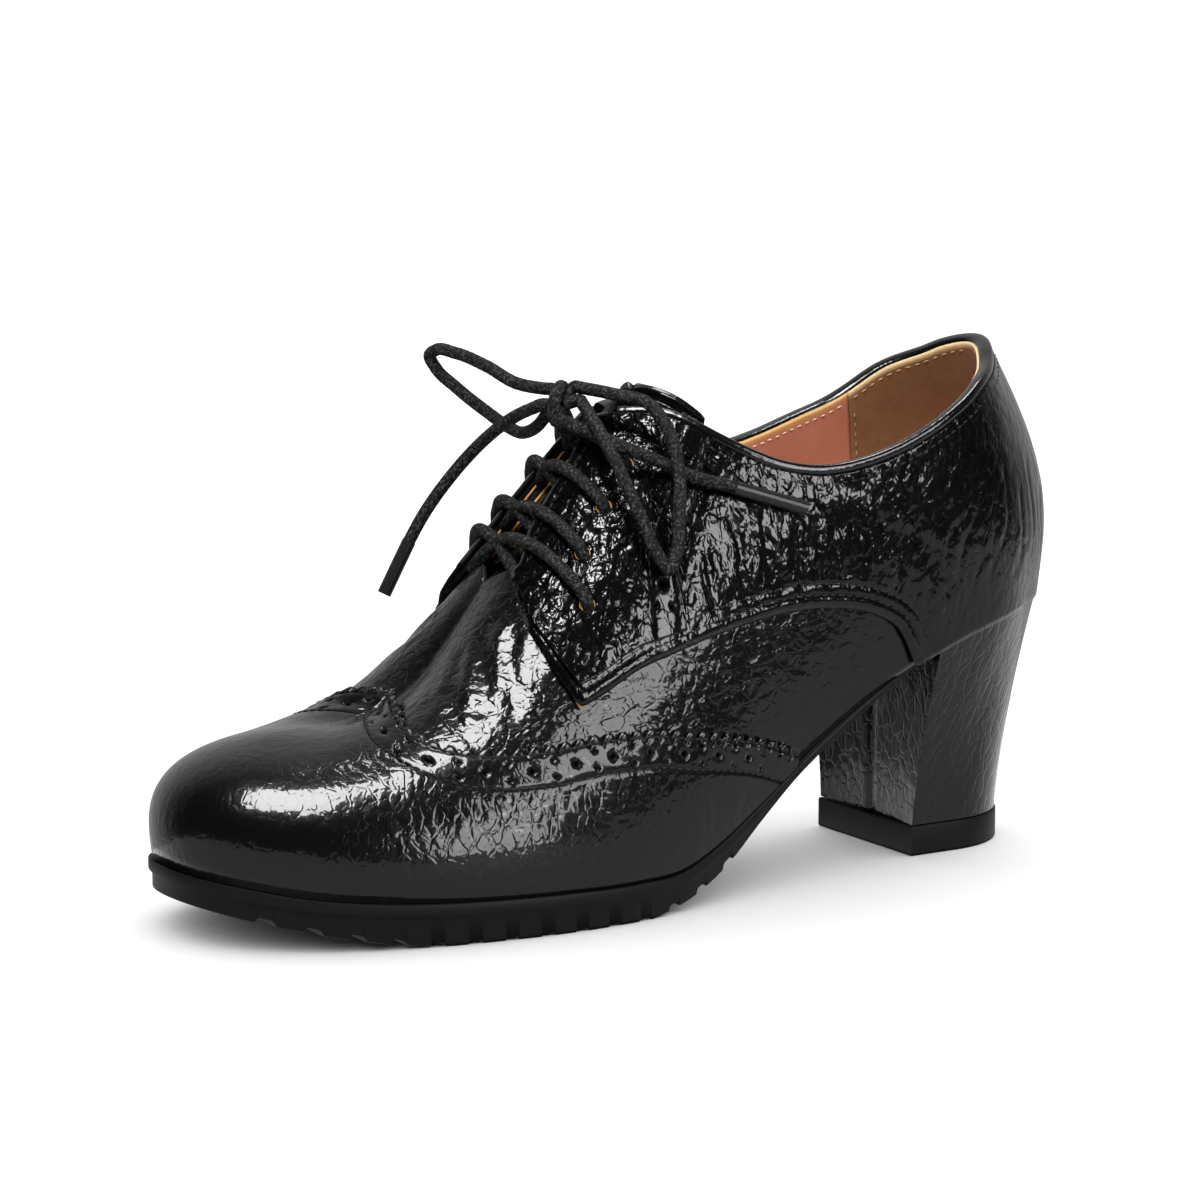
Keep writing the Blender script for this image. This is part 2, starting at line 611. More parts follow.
def edge_route(side, rows, start, stop, count=500, inset=0.0, lift=0.0):
    """Points along an edge, moved up from it along the leather, with the directions out of it."""
    from_toe = np.linspace(start, stop, count)
    rise = collar(side, from_toe) if rows is QUARTER_TOP else edge(rows, from_toe)
    if inset:
        side_all = np.full(count, float(side))
        base = surface(side_all, turn(from_toe), rise)
        run = unit(np.gradient(base, axis=0))
        out = outward(side_all, turn(from_toe), rise)
        step = np.cross(run, out) * side * inset
        behind = surface(side_all, turn(from_toe + 0.25), rise)
        ahead = surface(side_all, turn(from_toe - 0.25), rise)
        per_toe = (behind - ahead) / 0.5
        low = np.maximum(rise - 0.003, 0.0)
        high = np.minimum(rise + 0.003, 1.0)
        above = surface(side_all, turn(from_toe), high)
        below = surface(side_all, turn(from_toe), low)
        per_rise = (above - below) / (high - low)[:, None]
        for i in range(count):
            moves = np.linalg.lstsq(np.stack([per_toe[i], per_rise[i]], axis=1), step[i], rcond=None)[0]
            from_toe[i] += moves[0]
            rise[i] += moves[1]
    return on_last(float(side), np.clip(from_toe, 0.0, LENGTH), np.clip(rise, 0.001, 0.999), lift)


# Materials

def shader_of(made):
    """The surface shader of a finish."""
    return made.node_tree.nodes["Principled BSDF"]


def new_finish(name, colour, roughness, coat=0.0, coat_roughness=0.05, sheen=0.0):
    """A plain finish, before any texture."""
    made = bpy.data.materials.new(name)
    made.use_nodes = True
    shader = shader_of(made)
    shader.inputs["Base Color"].default_value = (*colour, 1.0)
    shader.inputs["Roughness"].default_value = roughness
    shader.inputs["Coat Weight"].default_value = coat
    shader.inputs["Coat Roughness"].default_value = coat_roughness
    shader.inputs["Sheen Weight"].default_value = sheen
    return made


def node(made, kind, **settings):
    """A new node with its settings."""
    added = made.node_tree.nodes.new(kind)
    for name, value in settings.items():
        setattr(added, name, value)
    return added


def link(made, start, stop):
    """Joins an output to an input."""
    made.node_tree.links.new(start, stop)


def mark(made, name):
    """A mark that the piece's points carry, such as how calm the leather is."""
    return node(made, "ShaderNodeAttribute", attribute_name=name).outputs["Fac"]


def soft_noise(made, place, scale, detail, roughness=0.5):
    """A noise texture at a place."""
    texture = node(made, "ShaderNodeTexNoise")
    texture.inputs["Scale"].default_value = scale
    texture.inputs["Detail"].default_value = detail
    texture.inputs["Roughness"].default_value = roughness
    link(made, place, texture.inputs["Vector"])
    return texture


def remapped(made, value, low, high, start=0.0, stop=1.0, kind="LINEAR"):
    """A value between start and stop, made one between low and high."""
    mapped = node(made, "ShaderNodeMapRange", interpolation_type=kind)
    mapped.inputs["From Min"].default_value = start
    mapped.inputs["From Max"].default_value = stop
    mapped.inputs["To Min"].default_value = low
    mapped.inputs["To Max"].default_value = high
    link(made, value, mapped.inputs["Value"])
    return mapped.outputs["Result"]


def blended(made, share, first, second):
    """The first colour where the share is 0, the second where it is 1. The first may be an output."""
    tone = node(made, "ShaderNodeMix", data_type="RGBA")
    link(made, share, tone.inputs["Factor"])
    if isinstance(first, tuple):
        tone.inputs["A"].default_value = (*first, 1.0)
    else:
        link(made, first, tone.inputs["A"])
    tone.inputs["B"].default_value = (*second, 1.0)
    return tone.outputs["Result"]


def object_place(made, scale=(1.0, 1.0, 1.0), lean=0.0):
    """Object coordinates in millimetres, scaled along each axis and leaned back by degrees."""
    place = node(made, "ShaderNodeTexCoord")
    mapping = node(made, "ShaderNodeMapping", vector_type="TEXTURE")
    mapping.inputs["Scale"].default_value = [MM / s for s in scale]
    mapping.inputs["Rotation"].default_value = (0.0, math.radians(lean), 0.0)
    link(made, place.outputs["Object"], mapping.inputs["Vector"])
    return mapping.outputs["Vector"]


def add_bump(made, height, distance, strength=1.0, before=None, calm=None, left=0.0):
    """A bump over the one before it. Where the calm attribute is 1, only a share of it is left."""
    bump = node(made, "ShaderNodeBump")
    bump.inputs["Strength"].default_value = strength
    bump.inputs["Distance"].default_value = distance * MM
    link(made, height, bump.inputs["Height"])
    if before is not None:
        link(made, before, bump.inputs["Normal"])
    if calm is not None:
        link(made, remapped(made, calm, strength, strength * left), bump.inputs["Strength"])
    return bump.outputs["Normal"]


def shifted(made, place, scale, amount):
    """A place moved about by noise, so that cells and lines get uneven."""
    wobble = soft_noise(made, place, scale, 2.0)
    centred = node(made, "ShaderNodeVectorMath", operation="SUBTRACT")
    centred.inputs[1].default_value = (0.5, 0.5, 0.5)
    link(made, wobble.outputs["Color"], centred.inputs[0])
    moved = node(made, "ShaderNodeVectorMath", operation="MULTIPLY_ADD")
    moved.inputs[1].default_value = (amount, amount, amount)
    link(made, centred.outputs["Vector"], moved.inputs[0])
    link(made, place, moved.inputs[2])
    return moved.outputs["Vector"]


def wrinkles(made, place, scale, detail):
    """Heights of wrinkled film: soft swellings with narrow creases between them."""
    folds = node(made, "ShaderNodeTexNoise", noise_type="RIDGED_MULTIFRACTAL", normalize=False)
    folds.inputs["Scale"].default_value = scale
    folds.inputs["Detail"].default_value = detail
    folds.inputs["Roughness"].default_value = 0.45
    folds.inputs["Lacunarity"].default_value = 2.1
    folds.inputs["Offset"].default_value = 1.0
    folds.inputs["Gain"].default_value = 1.4
    link(made, place, folds.inputs["Vector"])
    turned = node(made, "ShaderNodeMath", operation="MULTIPLY")
    turned.inputs[1].default_value = -1.0
    link(made, folds.outputs["Fac"], turned.inputs[0])
    return turned.outputs["Value"]


def cell_tilt(made, place, scale):
    """Heights of small facets, each with a lean of its own."""
    cells = node(made, "ShaderNodeTexVoronoi", feature="F1")
    cells.inputs["Scale"].default_value = scale
    link(made, place, cells.inputs["Vector"])
    off = node(made, "ShaderNodeVectorMath", operation="SUBTRACT")
    link(made, place, off.inputs[0])
    link(made, cells.outputs["Position"], off.inputs[1])
    lean = node(made, "ShaderNodeVectorMath", operation="SUBTRACT")
    lean.inputs[1].default_value = (0.5, 0.5, 0.5)
    link(made, cells.outputs["Color"], lean.inputs[0])
    tilt = node(made, "ShaderNodeVectorMath", operation="DOT_PRODUCT")
    link(made, off.outputs["Vector"], tilt.inputs[0])
    link(made, lean.outputs["Vector"], tilt.inputs[1])
    return tilt.outputs["Value"]


def cell_creases(made, place, scale):
    """Heights of flat cells with a thin crease between them."""
    cells = node(made, "ShaderNodeTexVoronoi", feature="DISTANCE_TO_EDGE")
    cells.inputs["Scale"].default_value = scale
    link(made, place, cells.inputs["Vector"])
    return remapped(made, cells.outputs["Distance"], 0.0, 1.0, 0.0, CREASE_HALF, "SMOOTHSTEP")


def patent_finish(name, scale=(1.0, 1.0, 1.0), strength=1.0, lean=0.0):
    """Black patent leather: a mirror-like film over leather with short creases. Its holes are dull."""
    made = new_finish(name, PATENT_BLACK, 0.25, coat=1.0, coat_roughness=0.035)
    shader = shader_of(made)
    place = object_place(made, scale, lean)
    uneven = shifted(made, place, 0.35, 2.0)
    swell = soft_noise(made, place, 0.12, 2.0, 0.55).outputs["Fac"]
    # Each layer's height, depth in millimetres, strength, and share left on calm leather
    layers = (
        (swell, 1.6, 0.5 * strength, CALM_SWELL),
        (wrinkles(made, uneven, 0.30, 1.6), 0.20, 0.6 * strength, CALM_WRINKLES),
        (cell_tilt(made, uneven, 0.34), 0.12, 0.5 * strength, CALM_WRINKLES),
        (cell_creases(made, uneven, 0.30), 0.07, 0.7, CALM_WRINKLES),
    )
    calm = mark(made, "calm")
    normal = None
    for height, depth, firmness, left in layers:
        normal = add_bump(made, height, depth, firmness, normal, calm, left)
    link(made, normal, shader.inputs["Normal"])
    link(made, normal, shader.inputs["Coat Normal"])
    pit = mark(made, "pit")
    link(made, blended(made, pit, PATENT_BLACK, HOLE_BLACK), shader.inputs["Base Color"])
    link(made, remapped(made, pit, 0.25, 0.9), shader.inputs["Roughness"])
    link(made, remapped(made, pit, 0.25, 0.0), shader.inputs["Specular IOR Level"])
    link(made, remapped(made, pit, 1.0, 0.0, stop=0.4), shader.inputs["Coat Weight"])
    return made


def smooth_patent_finish():
    """The plainer patent of the binding."""
    made = new_finish("smooth_patent", (0.002, 0.002, 0.0022), 0.2, coat=1.0, coat_roughness=0.05)
    grain = soft_noise(made, object_place(made), 0.55, 3.0)
    normal = add_bump(made, grain.outputs["Fac"], 0.25, 0.4)
    link(made, normal, shader_of(made).inputs["Normal"])
    link(made, normal, shader_of(made).inputs["Coat Normal"])
    return made


def lining_finish():
    """Salmon lining leather, with a cream cut edge beside the binding."""
    made = new_finish("salmon_lining", (0.56, 0.21, 0.125), 0.55)
    shader = shader_of(made)
    place = object_place(made)
    grain = soft_noise(made, place, 1.6, 5.0)
    clouds = soft_noise(made, place, 0.09, 3.0)
    tone = blended(made, clouds.outputs["Fac"], (0.55, 0.20, 0.115), (0.72, 0.30, 0.19))
    link(made, blended(made, mark(made, "rim"), tone, (0.72, 0.40, 0.13)), shader.inputs["Base Color"])
    link(made, add_bump(made, grain.outputs["Fac"], 0.1, 0.35), shader.inputs["Normal"])
    return made


def heel_lining_finish():
    """Tan suede of the heel lining, with a short uneven nap and a cream cut edge."""
    made = new_finish("tan_suede", (0.30, 0.16, 0.07), 0.9, sheen=0.35)
    shader = shader_of(made)
    place = object_place(made)
    nap = soft_noise(made, place, 3.4, 6.0)
    clouds = soft_noise(made, place, 0.22, 6.0, 0.65)
    tone = blended(made, clouds.outputs["Fac"], (0.19, 0.078, 0.021), (0.35, 0.175, 0.058))
    link(made, blended(made, mark(made, "rim"), tone, (0.78, 0.56, 0.28)), shader.inputs["Base Color"])
    link(made, add_bump(made, nap.outputs["Fac"], 0.25, 0.6), shader.inputs["Normal"])
    return made


def rubber_finish():
    """Moulded black rubber with a fine matt skin, duller in the tread's grooves."""
    made = new_finish("black_rubber", (0.005, 0.005, 0.0055), 0.5)
    shader = shader_of(made)
    skin = soft_noise(made, object_place(made), 2.2, 4.0).outputs["Fac"]
    link(made, remapped(made, skin, 0.34, 0.58), shader.inputs["Roughness"])
    link(made, remapped(made, mark(made, "pit"), 0.22, 0.02), shader.inputs["Specular IOR Level"])
    link(made, add_bump(made, skin, 0.06, 0.4), shader.inputs["Normal"])
    return made


def cord_finish():
    """Waxed black braid with paler fibres here and there."""
    made = new_finish("waxed_cord", (0.004, 0.004, 0.0045), 0.6)
    shader = shader_of(made)
    shader.inputs["Specular IOR Level"].default_value = 0.2
    fibres = soft_noise(made, object_place(made), 1.5, 5.0, 0.7).outputs["Fac"]
    pale = remapped(made, fibres, 0.0, 1.0, 0.50, 0.72)
    link(made, blended(made, pale, (0.003, 0.003, 0.0032), (0.11, 0.11, 0.11)), shader.inputs["Base Color"])
    link(made, add_bump(made, fibres, 0.5, 0.9), shader.inputs["Normal"])
    return made


def speckled_finish(name, dark, light, roughness, scale):
    """A plain finish whose colour and surface vary a little."""
    made = new_finish(name, light, roughness)
    shader = shader_of(made)
    grain = soft_noise(made, object_place(made), scale, 4.0).outputs["Fac"]
    link(made, blended(made, grain, dark, light), shader.inputs["Base Color"])
    link(made, add_bump(made, grain, 0.1, 0.3), shader.inputs["Normal"])
    return made


# Camera, light and floor

def make_camera():
    """The camera at the photo's viewing angle."""
    azimuth = math.radians(CAMERA_AZIMUTH)
    elevation = math.radians(CAMERA_ELEVATION)
    back = Vector((math.sin(azimuth) * math.cos(elevation), -math.cos(azimuth) * math.cos(elevation),
                   math.sin(elevation)))
    data = bpy.data.cameras.new("photo_camera")
    data.lens = CAMERA_LENS
    data.sensor_width = 36.0
    camera = bpy.data.objects.new("photo_camera", data)
    camera.location = (Vector(CAMERA_TARGET) + back * CAMERA_DISTANCE) * MM
    camera.rotation_mode = "QUATERNION"
    camera.rotation_quaternion = (-back).to_track_quat("-Z", "Y")
    bpy.context.scene.collection.objects.link(camera)
    bpy.context.scene.camera = camera


def make_light(name, place, target, size, power, lit):
    """A soft box at a place in metres, turned to a target, that falls on the lit pieces."""
    data = bpy.data.lights.new(name, "AREA")
    data.shape = "RECTANGLE"
    data.size, data.size_y = size
    data.energy = power
    lamp = bpy.data.objects.new(name, data)
    lamp.location = place
    lamp.rotation_mode = "QUATERNION"
    lamp.rotation_quaternion = (Vector(target) - Vector(place)).to_track_quat("-Z", "Y")
    lamp.visible_camera = False
    lamp.light_linking.receiver_collection = lit
    bpy.context.scene.collection.objects.link(lamp)
    return lamp


def lights_fall_on(name, pieces, rest=False):
    """A light's receivers: only the pieces, or all the rest."""
    group = bpy.data.collections.new(name)
    for piece in pieces:
        group.objects.link(piece)
    if rest:
        for entry in group.collection_objects:
            entry.light_linking.link_state = "EXCLUDE"
    return group


def make_world():
    """Dim studio walls, brighter behind the shoe, as the glossy leather mirrors them."""
    world = bpy.data.worlds.new("studio")
    world.use_nodes = True
    place = node(world, "ShaderNodeTexCoord")
    behind = node(world, "ShaderNodeVectorMath", operation="DOT_PRODUCT")
    behind.inputs[1].default_value = (0.53, 0.85, 0.0)
    link(world, place.outputs["Generated"], behind.inputs[0])
    wall = remapped(world, behind.outputs["Value"], WALL_LIGHT, BACKDROP_LIGHT, 0.0, 0.8, "SMOOTHSTEP")
    glow = world.node_tree.nodes["Background"]
    glow.inputs["Color"].default_value = (1.0, 1.0, 1.0, 1.0)
    link(world, wall, glow.inputs["Strength"])
    bpy.context.scene.world = world


def make_floor():
    """A wide pale floor with a soft light of its own. The leather mirrors the studio instead of it."""
    bm = bmesh.new()
    bmesh.ops.create_grid(bm, x_segments=1, y_segments=1, size=FLOOR_HALF)
    mesh = bpy.data.meshes.new("floor")
    bm.to_mesh(mesh)
    bm.free()
    mesh.materials.append(new_finish("pale_floor", (0.9, 0.9, 0.9), 0.8))
    floor = bpy.data.objects.new("floor", mesh)
    floor.visible_glossy = False
    bpy.context.scene.collection.objects.link(floor)
    data = bpy.data.lights.new("floor_light", "SUN")
    data.energy = FLOOR_LIGHT
    data.angle = math.radians(FLOOR_LIGHT_SPREAD)
    lamp = bpy.data.objects.new("floor_light", data)
    lamp.rotation_euler = (math.radians(-6), 0.0, 0.0)
    lamp.light_linking.receiver_collection = lights_fall_on("floor_light_falls_on", [floor])
    bpy.context.scene.collection.objects.link(lamp)
    return floor


def make_studio(crumpled):
    """Soft boxes over the shoe. The crumpled pieces get narrower ones, which they break into sparkles."""
    bpy.context.scene.view_settings.view_transform = "Standard"
    make_world()
    floor = make_floor()
    shoe = lights_fall_on("all_but_floor", [floor], True)
    front = lights_fall_on("all_but_floor_and_crumpled", [floor] + crumpled, True)
    sides = lights_fall_on("crumpled_only", crumpled)
    make_light("top_box", (-0.40, -0.36, 1.15), (-0.06, 0.0, 0.06), (0.74, 0.70), 22, front)
    make_light("side_box", (0.38, -0.86, 0.43), (0.0, 0.0, 0.07), (0.50, 0.44), 2.9, front)
    make_light("low_box", (0.14, -1.0, 0.15), (-0.06, -0.03, 0.04), (0.30, 0.28), 1.25, front)
    make_light("top_strip", (-0.30, -0.45, 1.15), (-0.03, 0.0, 0.06), (0.26, 0.22), 3.2, sides)
    make_light("side_strip", (0.30, -0.86, 0.42), (0.0, 0.0, 0.07), (0.34, 0.32), 2.0, sides)
    make_light("collar_box", (0.35, 0.25, 1.2), (0.03, 0.0, 0.1), (0.35, 0.35), 2.5, shoe)
    mirrored = make_light("table_glow", TABLE_PLACE, (*TABLE_PLACE[:2], 1.0), TABLE_SIZE, TABLE_LIGHT, shoe)
    mirrored.visible_diffuse = False


# Laces

def route_points(route, spacing):
    """Points at an even spacing on a smooth curve through a route."""
    route = np.asarray(route, float)
    places = places_along(route)
    count = max(3, round(places[-1] / spacing) + 1)
    spots = np.linspace(0.0, places[-1], count)
    return np.stack([smooth(spots, places, route[:, axis]) for axis in range(3)], axis=1)


def braided_tube(name, paths, finish, radius=LACE_RADIUS, braid=0.13, sides=24):
    """Round cords along paths in millimetres, with strands that cross over each other."""
    whole = bmesh.new()
    mesh = bpy.data.meshes.new(name)
    for path in paths:
        run = unit(np.gradient(path, axis=0))
        wide = np.cross(run[0], (0.31, 0.2, 0.93))
        rings = []
        place = 0.0
        for i, spot in enumerate(path):
            place += np.linalg.norm(spot - path[max(i - 1, 0)])
            wide = wide - run[i] * wide.dot(run[i])
            wide = wide / np.linalg.norm(wide)
            high = np.cross(run[i], wide)
            around = np.linspace(0.0, 2 * math.pi, sides + 1)
            twist = 2 * math.pi * place / BRAID_PITCH
            weave = np.maximum(np.abs(np.sin(3.0 * around + twist)), np.abs(np.sin(3.0 * around - twist)))
            size = radius * (1 - braid + braid * weave)
            rings.append(spot + np.outer(size * np.cos(around), wide) + np.outer(size * np.sin(around), high))
        part, part_mesh, _ = grid_object(f"{name}_part", np.array(rings), finish)
        bmesh.ops.holes_fill(part, edges=part.edges[:])
        bmesh.ops.recalc_face_normals(part, faces=part.faces[:])
        part.to_mesh(part_mesh)
        part.free()
        whole.from_mesh(part_mesh)
        bpy.data.meshes.remove(part_mesh)
    return finish_object((whole, mesh, finish))


def strand_route(side, row):
    """One cord of a lace row: up through its eyelet, over the facing and down into the gap."""
    eyelet_x = LACE_ROWS["eyelet_from_toe"][row]
    eyelet_rise = LACE_ROWS["eyelet_rise"][row]
    gap_x = LACE_ROWS["gap_from_toe"][row]
    facing_x = eyelet_x + (gap_x - eyelet_x) * 0.62
    facing_rise = edge(QUARTER_TOP, facing_x) + EDGE_STEP
    crossing_x = eyelet_x + (gap_x - eyelet_x) * 0.9
    far_edge = float(edge(QUARTER_TOP, gap_x))
    spots = [(side, eyelet_x, eyelet_rise - 0.012, FACING_TOP - 1.6),
             (side, eyelet_x, eyelet_rise, FACING_TOP + 0.5)]
    for share in (0.25, 0.5, 0.75):
        spots.append((side, eyelet_x + (facing_x - eyelet_x) * share,
                      eyelet_rise + (facing_rise - eyelet_rise) * share, FACING_TOP + LACE_RADIUS + 0.1))
    spots += [(side, facing_x, facing_rise, FACING_TOP + LACE_RADIUS - 0.3),
              (side, crossing_x, 1.0, LACE_CROSSING - 0.4),
              (-side, gap_x, (1 + far_edge) / 2, LACE_DIP - 0.2),
              (-side, gap_x, far_edge - 0.03, -0.4)]
    return [on_last(*spot)[0] for spot in spots]


def make_laces(cord, film):
    """The lace rows, the bow's loops and ends with their tips, and the knot."""
    for row in range(len(LACE_ROWS["eyelet_rise"])):
        paths = [route_points(strand_route(side, row), 0.5) for side in SIDES]
        piece = braided_tube(f"lace_crossing_{row + 1}", paths, cord)
        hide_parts(f"lace_row_{row + 1}")
    for name, route in TIPS.items():
        path = route_points(np.array(route) / MM, 0.9)
        braided_tube(name.replace("lace_tip", "lace_film"), [path], film, TIP_RADIUS, 0.0, 20)
        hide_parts(name)
    for name, route in CORDS.items():
        path = route_points(np.array(route) / MM, 0.5)
        piece = braided_tube(name.replace("lace_", "bow_"), [path], cord)
        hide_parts(name)
    make_knot(cord)


def make_knot(cord):
    """The bow's knot: a wrap over the middle, a half knot under it, and the start of each cord."""
    middle = np.array(KNOT)
    across = np.array((0.60, -0.80, 0.0))
    front = np.array((-0.80, -0.60, 0.0))
    up = np.array((0.0, 0.0, 1.0))
    around = np.append(np.linspace(0.0, 2 * math.pi, 48), 0.12)
    paths = []
    for shift, drop, lean, deep, high in ((0.0, 0.2, 0.12, 3.3, 4.3), (0.8, -3.4, -0.5, 3.0, 2.3)):
        paths.append(np.array([middle + across * (shift + lean * high * math.sin(a)) + up * drop
                               + front * deep * math.cos(a) + up * high * math.sin(a) for a in around]))
    for name, route in CORDS.items():
        path = route_points(np.array(route) / MM, 0.5)
        starts = [path[:4]] if "end" in name else [path[:4], path[:-5:-1]]
        for start in starts:
            leaves = unit(start[0] - start[3])
            inside = middle + (start[0] - middle) * 0.25
            paths.append(route_points([inside, start[0] + leaves * 2.0, start[0] - leaves * 0.1,
                                       start[0] - leaves * 0.5], 0.5))
    piece = braided_tube("bow_knot", paths, cord, LACE_RADIUS + 0.02)
    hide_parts("lace_knot")


def add_stitch(bm, spot, run, out, length, width):
    """One bead of thread along a direction."""
    side = run.cross(out).normalized()
    out = side.cross(run).normalized()
    shape = Matrix((run * length / 2, side * width / 2, out * width / 2)).transposed().to_4x4()
    bmesh.ops.create_uvsphere(bm, u_segments=6, v_segments=4, radius=MM,
                              matrix=Matrix.Translation(spot * MM) @ shape)


def make_stitches(name, routes, thread, slot, pitch=STITCH_PITCH, length=STITCH_LENGTH, width=STITCH_WIDTH):
    """Rows of stitches, each a short bead of thread that lies along its route."""
    bm = bmesh.new()
    for points, outs in routes:
        places = places_along(points)
        for place in np.arange(pitch / 2, places[-1] - pitch / 2, pitch):
            wanted = ((place + 0.6, points), (place - 0.6, points), (place, points), (place, outs))
            ahead, behind, spot, out = (Vector([np.interp(at, places, column) for column in values.T])
                                        for at, values in wanted)
            add_stitch(bm, spot, (ahead - behind).normalized(), out, length, width)
    mesh = bpy.data.meshes.new(name)
    piece = finish_object((bm, mesh, thread))
    return piece


# Upper

def make_upper(leather, cut_edge):
    """The vamp and the base under the quarters, one sheet round the toe and both sides."""
    side, from_toe = both_sides(LENGTH, 520)
    side, from_toe = side[:, None], from_toe[:, None]
    rows = np.linspace(0.0, 1.0, 52)[None]
    rise = upper_top(side, from_toe) * rows
    points, _ = on_last(side, from_toe, rise)
    soft = ease(from_toe, 30, 60) * (1 - ease(from_toe, 185, 200))
    relief = VAMP_CRUMPLE * crumple(points, 6.5) * (1 - ease(rise, 0.97, 1.0)) + creases(side, from_toe, rise)
    lift = relief * soft
    piece = leather_sheet("vamp", side, from_toe, rise, np.clip(lift, -0.7, 0.28), -WALL, leather,
                          {"calm": pulled_smooth(from_toe, rise)}, cut_edge)
    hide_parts("upper")


def wing_columns(count):
    """Distances from the toe that are even along the wing's edge and its foot."""
    fine = np.linspace(0.0, WING_EDGE["from_toe"][-1], 3000)
    ones = np.full(3000, float(OUTER))
    top = surface(ones, turn(fine), edge(WING_EDGE, fine))
    foot = surface(ones, turn(fine), np.zeros(3000))
    places = places_along(top) + places_along(foot)
    return np.interp(np.linspace(0.0, places[-1], count), places, fine)


def wing_route(side, start, count):
    """Points at even steps along the wing's edge, and the way out of the sheet at each of them."""
    fine = np.linspace(start, WING_EDGE["from_toe"][-1], 6000)
    spots = on_last(np.full(len(fine), float(side)), fine, edge(WING_EDGE, fine))[0]
    places = places_along(spots)
    even = np.interp(np.linspace(0.0, places[-1], count), places, fine)
    rise = edge(WING_EDGE, even)
    route = on_last(np.full(count, float(side)), even, rise)[0]
    out = unit(np.stack([-np.gradient(rise) * GIRTH, np.gradient(even)], axis=1))
    return route, out


def make_toe_cap(leather, thread, cut_edge):
    """The wing tip: one sheet over the toe, with a pinked, punched and stitched edge."""
    half = wing_columns(330)
    side = np.concatenate([np.full(329, OUTER), np.full(330, INNER)])[:, None]
    from_toe = np.concatenate([half[:0:-1], half])[:, None]
    rows = np.linspace(0.0, 1.0, 62)[None] ** 0.75
    rise = edge(WING_EDGE, from_toe) * rows
    from_toe = np.broadcast_to(from_toe, rise.shape)
    points = on_last(side, from_toe, rise)[0]
    routes = {s: wing_route(s, WING_APEX, 1200) for s in SIDES}
    back = np.zeros(rise.shape)
    down = np.zeros(rise.shape)
    edge_roll = np.zeros(rise.shape)
    for s in SIDES:
        route, out = routes[s]
        gap, place = nearest_on(points, route)
        step = place / np.linalg.norm(np.diff(route, axis=0), axis=1).mean()
        pinked = (side == s) & (from_toe > WING_PINKED[0]) & (from_toe < WING_PINKED[1])
        cut = TOOTH_DEPTH * teeth(place + TOOTH_PITCH / 2) * (1 - ease(gap, 0.0, TOOTH_REACH)) * pinked
        back = np.where(pinked, cut * np.interp(step, np.arange(len(out)), out[:, 0]), back)
        down = np.where(pinked, cut * np.interp(step, np.arange(len(out)), out[:, 1]) / GIRTH, down)
        edge_roll = np.where(pinked, 0.25 * (1 - ease(gap, 0.0, 0.7)), edge_roll)
    from_toe = from_toe - back
    rise = rise - np.minimum(down, 0.6 * rise)
    points = on_last(side, from_toe, rise)[0]
    pit = np.zeros(rise.shape)
    groove = np.zeros(rise.shape)
    calm = np.zeros(rise.shape)
    raised = np.zeros(rise.shape)
    for s in SIDES:
        gap, place = nearest_on(points, routes[s][0])
        here = (side == s) & (from_toe > WING_PINKED[0])
        raised = np.maximum(raised, WING_LIFT * (1 - ease(gap, 0.0, 6.0)) * ease(rise, 0.64, 0.84))
        calm = np.where(here, 0.95 * (1 - ease(gap, 9.0, 12.0)), calm)
        punched = here & (from_toe < WING_PUNCHED_TO)
        pit = np.where(punched, np.maximum(pit, perforations(gap, place)), pit)
        groove = np.where(here, np.maximum(groove, seams(gap, WING_STITCHES)), groove)
    soft = 0.35 + 0.65 * ease(from_toe, 40, 80)
    calm = np.maximum(calm, pulled_smooth(from_toe, rise))
    lift = (OVERLAY_LIFT + WING_CRUMPLE * crumple(points, 6.0) * soft * (1 - 0.75 * calm) - HOLE_DEPTH * pit
            - edge_roll - SEAM_GROOVE * groove + raised)
    lift = np.maximum(lift, 0.05 - HOLE_DEPTH)
    marks = {"pit": np.maximum(ease(pit, 0.02, 0.4), SEAM_SHADE * groove), "calm": calm}
    piece = leather_sheet("wing_tip", side, from_toe, rise, lift, LAYER, leather, marks, cut_edge)
    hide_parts("toe_cap")
    stitch_lift = OVERLAY_LIFT + LAYER - SEAM_GROOVE + THREAD_PROUD
    lines = [edge_route(s, WING_EDGE, start, WING_STITCH_STOP, 500, -line, stitch_lift)
             for s in SIDES for start, line in zip(WING_STITCH_STARTS, WING_STITCHES)]
    make_stitches("wing_stitches", lines, thread, "patent")


